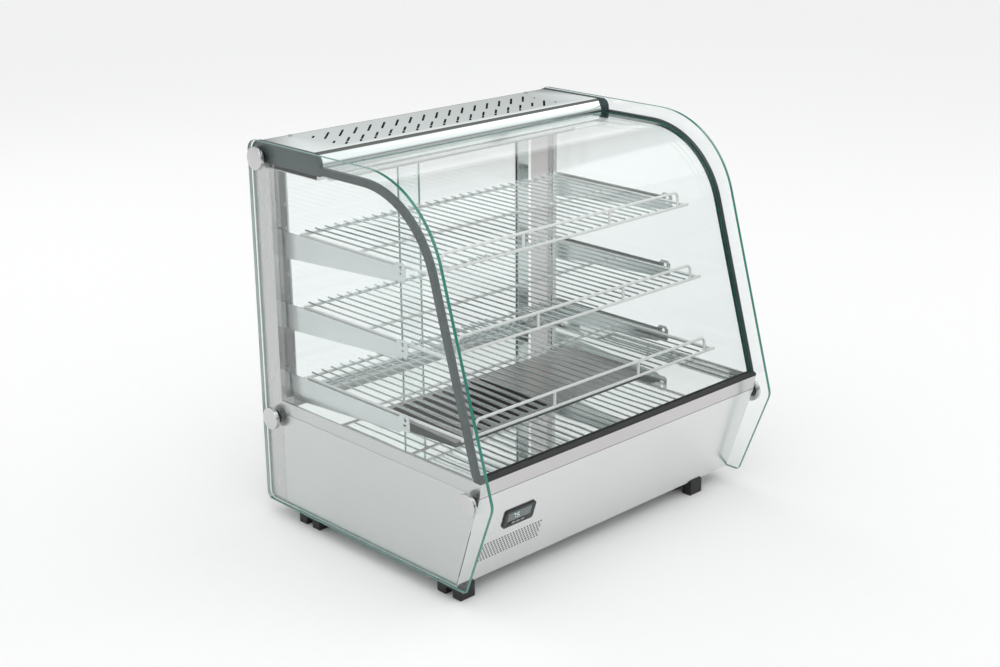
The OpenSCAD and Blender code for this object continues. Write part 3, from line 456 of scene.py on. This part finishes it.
def softenPiece(node, finish, width):
    bm = joinedCopy(node)
    used = [finish]
    if node in twoTone:
        second, belongs = twoTone[node]
        used.append(second)
        bm.normal_update()
        for face in bm.faces:
            face.material_index = int(bool(belongs(face.calc_center_median(), face.normal)))
    ob = addPiece(camel(node), finishMesh(bm, camel(node), used), bodyOf(node), [node])
    if width:
        bevel(ob, width)


for node, values in refined.items():
    softenPiece(node, *values)
for node, finish in keptAsCad.items():
    nodes[node].data.materials.clear()
    nodes[node].data.materials.append(finishes[finish])
print("edges softened on", len(refined), "pieces")


# panes: the broad faces are clear and the narrow ones show the green edge. Finish of the faces, finish of the
# edge and width of the ground corner
paneEdgeArea = 0.004                             # the curved pane's faces under this size are edges
panes = {
    "side_glass_left": ("sideGlass", "sideEdge", 0.0008),
    "side_glass_right": ("sideGlass", "sideEdge", 0.0008),
    "front_glass": ("frontGlass", "sideEdge", 0.0005),
    "door_glass_left": ("doorGlass", "doorEdge", 0.0005),
    "door_glass_right": ("doorGlass", "doorEdge", 0.0005),
}


def makePane(node, clear, edge, chamfer):
    bm = joinedCopy(node)
    across = node.startswith("side")
    for face in bm.faces:
        if node == "front_glass":
            narrow = abs(face.normal.x) > 0.5 or face.calc_area() < paneEdgeArea
        else:
            narrow = (abs(face.normal.x) if across else abs(face.normal.y)) < 0.5
        away = across and face.normal.y > 0.5
        face.material_index = (2 if away else 1) if narrow else 0
    mesh = finishMesh(bm, camel(node), [clear, edge, "faintEdge"])
    ob = addPiece(camel(node), mesh, bodyOf(node), [node])
    bevel(ob, chamfer, 1, 60).material = 1


for node, values in panes.items():
    makePane(node, *values)
print("panes made")


# wire shelves: one tree sweeps a round wire along bent paths and repeats it in a row
def wireTree():
    tree = bpy.data.node_groups.new("bentWireRow", "GeometryNodeTree")
    sockets = {}
    for name, kind, value in (("Path", "NodeSocketGeometry", None), ("Diameter", "NodeSocketFloat", 0.003),
                              ("Bend radius", "NodeSocketFloat", 0.008), ("Count", "NodeSocketInt", 1),
                              ("Pitch", "NodeSocketFloat", 0.02), ("Sides", "NodeSocketInt", 12),
                              ("Finish", "NodeSocketMaterial", None)):
        sockets[name] = tree.interface.new_socket(name=name, in_out="INPUT", socket_type=kind)
        if value is not None:
            sockets[name].default_value = value
    tree.interface.new_socket(name="Wires", in_out="OUTPUT", socket_type="NodeSocketGeometry")

    def add(kind, settings=None, values=None):
        n = tree.nodes.new(kind)
        for key, value in (settings or {}).items():
            setattr(n, key, value)
        for key, value in (values or {}).items():
            if isinstance(value, bpy.types.NodeSocket):
                tree.links.new(value, n.inputs[key])
            else:
                n.inputs[key].default_value = value
        return n

    given = add("NodeGroupInput").outputs
    half = add("ShaderNodeMath", {"operation": "MULTIPLY"}, {0: given["Diameter"], 1: 0.5}).outputs[0]
    path = add("GeometryNodeMeshToCurve", {}, {"Mesh": given["Path"]}).outputs[0]
    bent = add("GeometryNodeFilletCurve", {"mode": "POLY"},
               {"Curve": path, "Count": 6, "Radius": given["Bend radius"], "Limit Radius": True}).outputs[0]
    ring = add("GeometryNodeCurvePrimitiveCircle", {"mode": "RADIUS"},
               {"Resolution": given["Sides"], "Radius": half}).outputs[0]
    wire = add("GeometryNodeCurveToMesh", {},
               {"Curve": bent, "Profile Curve": ring, "Fill Caps": True}).outputs[0]
    step = add("ShaderNodeCombineXYZ", {}, {"X": given["Pitch"]}).outputs[0]
    row = add("GeometryNodeMeshLine", {"mode": "OFFSET"},
              {"Count": given["Count"], "Offset": step}).outputs[0]
    many = add("GeometryNodeInstanceOnPoints", {}, {"Points": row, "Instance": wire}).outputs[0]
    real = add("GeometryNodeRealizeInstances", {}, {"Geometry": many}).outputs[0]
    smooth = add("GeometryNodeSetShadeSmooth", {}, {"Geometry": real}).outputs[0]
    painted = add("GeometryNodeSetMaterial", {}, {"Geometry": smooth, "Material": given["Finish"]}).outputs[0]
    out = add("NodeGroupOutput")
    tree.links.new(painted, out.inputs[0])
    return tree, {name: s.identifier for name, s in sockets.items()}


wireGroup, wireInputs = wireTree()


# mesh of one row of wires: paths are lists of points, repeated along X
def bentWires(name, paths, diameter, bend, finish, count=1, pitch=0.02, sides=12):
    points, edges = [], []
    for path in paths:
        start = len(points)
        points += [tuple(p) for p in path]
        edges += [(start + i, start + i + 1) for i in range(len(path) - 1)]
    mesh = bpy.data.meshes.new(name)
    mesh.from_pydata(points, edges, [])
    ob = bpy.data.objects.new(name, mesh)
    scene.collection.objects.link(ob)
    m = ob.modifiers.new("wires", "NODES")
    m.node_group = wireGroup
    for key, value in (("Diameter", diameter), ("Bend radius", bend), ("Count", count), ("Pitch", pitch),
                       ("Sides", sides), ("Finish", finishes[finish])):
        m[wireInputs[key]] = value
    bpy.context.view_layer.update()
    deps = bpy.context.evaluated_depsgraph_get()
    result = bpy.data.meshes.new_from_object(ob.evaluated_get(deps))
    bpy.data.objects.remove(ob)
    return result


def joinMeshes(name, meshes):
    bm = bmesh.new()
    for mesh in meshes:
        bm.from_mesh(mesh)
    bmesh.ops.recalc_face_normals(bm, faces=bm.faces)
    mesh = bpy.data.meshes.new(name)
    bm.to_mesh(mesh)
    bm.free()
    for m in meshes[0].materials:
        mesh.materials.append(m)
    return mesh


shelf = {"rod": 0.005, "wire": 0.003, "pitch": 0.0205, "overhang": 0.009, "tip": 0.006, "railInset": 0.035,
         "bend": 0.011, "wireBend": 0.004, "midShift": 0.014, "sunk": 0.0004, "margin": 0.008, "tail": 0.002,
         "wireIn": 0.0006, "bracketWall": 0.0015, "postShare": 1 / 2.73}


def makeShelf(level):
    node = "shelf_" + level
    low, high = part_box(node)
    rod, wire = shelf["rod"], shelf["wire"]
    z = low.z + rod / 2
    front, rear = low.y + rod / 2, high.y - shelf["overhang"]
    half = high.x - shelf["tip"]
    count = 2 * int((half - shelf["margin"]) / shelf["pitch"]) + 1
    x0 = -(count - 1) / 2 * shelf["pitch"]
    top = z + rod / 2 + wire / 2 - shelf["sunk"]
    longWire = [(x0, front + shelf["wireIn"], top), (x0, rear + shelf["overhang"], top)]
    longWires = bentWires("longWires", [longWire], wire, shelf["wireBend"], "wireChrome", count,
                          shelf["pitch"])

    def across(reach, y):
        return [(-reach, y, z), (reach, y, z)]

    middle = (rear + front) / 2 + shelf["midShift"]
    sides = [[(x, rear + shelf["tail"], z), (x, front, z)] for x in (-half, half)]
    railZ = high.z - rod / 2
    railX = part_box("bracket_right_top")[1].x - shelf["bracketWall"] - shelf["railInset"]
    rail = [(-railX, front, z), (-railX, front, railZ), (railX, front, railZ), (railX, front, z)]
    postX = railX * shelf["postShare"]
    posts = [[(x, front, z), (x, front, railZ)] for x in (-postX, postX)]
    rods = [*sides, across(high.x, front), across(half, rear), across(half, middle), rail, *posts]
    frameWires = bentWires("frameWires", rods, rod, shelf["bend"], "wireChrome", sides=14)
    name = "wireShelf" + level.capitalize()
    addPiece(name, joinMeshes(name, [longWires, frameWires]), bodyOf(node), [node])


for level in ("top", "middle", "bottom"):
    makeShelf(level)
print("wire shelves made")


# stand-off buttons: turned discs with a stepped rim, each with its stud
button = {"radius": 0.0195, "thick": 0.009, "chamfer": 0.0014, "neck": 0.0165, "neckDepth": 0.0022,
          "stud": 0.0045, "lead": 0.0004, "clear": 0.0001, "crown": 0.00025, "sides": 72, "outer": 0.008,
          "apart": 0.06}


def buttonCentres():
    found = []
    for v in nodes["standoff_buttons"].data.vertices:
        if abs(v.co.x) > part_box("side_glass_right")[1].x + button["outer"]:
            near = next((g for g in found if (g[0] - v.co).length < button["apart"]), None)
            if near:
                near.append(v.co.copy())
            else:
                found.append([v.co.copy()])
    spans = [[(min(c[i] for c in g) + max(c[i] for c in g)) / 2 for i in (0, 1, 2)] for g in found]
    return [(x > 0, Vector((0, y, z))) for x, y, z in spans]


def makeButtons():
    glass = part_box("side_glass_right")[1].x
    stud = nodes["standoff_buttons"]
    inner = min(abs(v.co.x) for v in stud.data.vertices)
    b = button
    face = glass + b["thick"]
    profile = [(inner, 0), (inner, b["stud"] - b["lead"]), (inner + b["lead"], b["stud"]),
               (glass + b["clear"], b["stud"]), (glass + b["clear"], b["neck"]),
               (glass + b["neckDepth"], b["neck"]), (glass + b["neckDepth"], b["radius"]),
               (face - b["chamfer"], b["radius"]),
               (face - b["chamfer"] * 0.35, b["radius"] - b["chamfer"] * 0.3),
               (face - b["crown"], b["radius"] - b["chamfer"]), (face, b["radius"] * 0.55), (face, 0)]
    bm = bmesh.new()
    for side, centre in buttonCentres():
        sign = 1 if side else -1
        rings = []
        for x, r in profile:
            if r == 0:
                rings.append([bm.verts.new((sign * x, centre.y, centre.z))])
            else:
                rings.append([bm.verts.new((sign * x, centre.y + r * math.cos(a), centre.z + r * math.sin(a)))
                              for a in (2 * math.pi * k / b["sides"] for k in range(b["sides"]))])
        for one, two in zip(rings, rings[1:]):
            n = b["sides"]
            for k in range(n):
                corners = [one[k % len(one)], one[(k + 1) % len(one)],
                           two[(k + 1) % len(two)], two[k % len(two)]]
                corners = [c for i, c in enumerate(corners) if c not in corners[:i]]
                bm.faces.new(corners)
    bmesh.ops.recalc_face_normals(bm, faces=bm.faces)
    smoothByAngle(bm, 25)
    addPiece("standoffButtons", finishMesh(bm, "standoffButtons", ["buttonChrome"]), "case",
             ["standoff_buttons"])


makeButtons()
print("buttons made")


# reading on the thermostat window: two digits and a small lamp
reading = {"digits": "75", "height": 0.0088, "width": 0.0050, "bar": 0.0011, "gap": 0.0032, "raise": 0.00012,
           "sunk": 0.0002, "shift": -0.012, "lampShift": 0.016, "lampRadius": 0.0009, "lampSides": 16}
litBars = {"7": "abc", "5": "acdfg"}             # bars of a seven-bar digit, a at the top, g in the middle


def glow(name, colour, power):
    s = Shader(name)
    haze = s.noise(600.0, 2.0)
    return s.finish(s.node("ShaderNodeBsdfPrincipled", {}, {
        "Base Color": s.mixColour(haze, [c * 0.8 for c in colour], colour), "Roughness": 0.3,
        "Emission Color": s.mixColour(haze, [c * 0.9 for c in colour], colour), "Emission Strength": power}))


# outline of one bar of a digit, with pointed ends
def barOutline(x, y, w, h):
    t = min(w, h) / 2
    if w > h:
        return [(x - w / 2, y), (x - w / 2 + t, y + h / 2), (x + w / 2 - t, y + h / 2), (x + w / 2, y),
                (x + w / 2 - t, y - h / 2), (x - w / 2 + t, y - h / 2)]
    return [(x, y - h / 2), (x + w / 2, y - h / 2 + t), (x + w / 2, y + h / 2 - t), (x, y + h / 2),
            (x - w / 2, y + h / 2 - t), (x - w / 2, y - h / 2 + t)]


def digitOutlines(digit, x):
    w, h, b = reading["width"], reading["height"], reading["bar"]
    short = b * 0.25                             # gap between neighbouring bars
    flat = {"a": h / 2, "g": 0, "d": -h / 2}
    upright = {"b": (w / 2, h / 4), "c": (w / 2, -h / 4), "f": (-w / 2, h / 4)}
    for bar in litBars[digit]:
        if bar in flat:
            yield barOutline(x, flat[bar], w - short, b)
        else:
            yield barOutline(x + upright[bar][0], upright[bar][1], b, h / 2 - short)


def makeReading():
    r = reading
    finishes["digitGlow"] = glow("digitGlow", (0.72, 0.80, 0.78), 0.25)
    finishes["lampGlow"] = glow("lampGlow", (0.7, 0.08, 0.05), 0.3)
    along = Vector((1, 0, 0))
    up = Vector((0, -math.sin(frontLean), math.cos(frontLean)))
    out = Vector((0, -math.cos(frontLean), -math.sin(frontLean)))
    verts = [v.co for v in nodes["display_lens"].data.vertices]
    middle = sum(verts, Vector()) / len(verts)
    middle += (max(v.dot(out) for v in verts) - middle.dot(out)) * out
    bm = bmesh.new()

    def raisePlate(outline, finish):
        n = len(outline)
        low, high = [[bm.verts.new(middle + along * a + up * b + out * o) for a, b in outline]
                     for o in (-r["sunk"], r["raise"])]
        faces = [bm.faces.new(high), bm.faces.new(low[::-1])]
        faces += [bm.faces.new((low[k], low[(k + 1) % n], high[(k + 1) % n], high[k])) for k in range(n)]
        for face in faces:
            face.material_index = finish

    for k, digit in enumerate(r["digits"]):
        for outline in digitOutlines(digit, r["shift"] + k * (r["width"] + r["gap"])):
            raisePlate(outline, 0)
    lampX, lampY, radius = r["lampShift"], -r["height"] / 4, r["lampRadius"]
    turns = [2 * math.pi * k / r["lampSides"] for k in range(r["lampSides"])]
    raisePlate([(lampX + radius * math.cos(a), lampY + radius * math.sin(a)) for a in turns], 1)
    bmesh.ops.recalc_face_normals(bm, faces=bm.faces)
    mesh = finishMesh(bm, "displayReading", ["digitGlow", "lampGlow"])
    addPiece("displayReading", mesh, "case")


makeReading()
print("reading made")
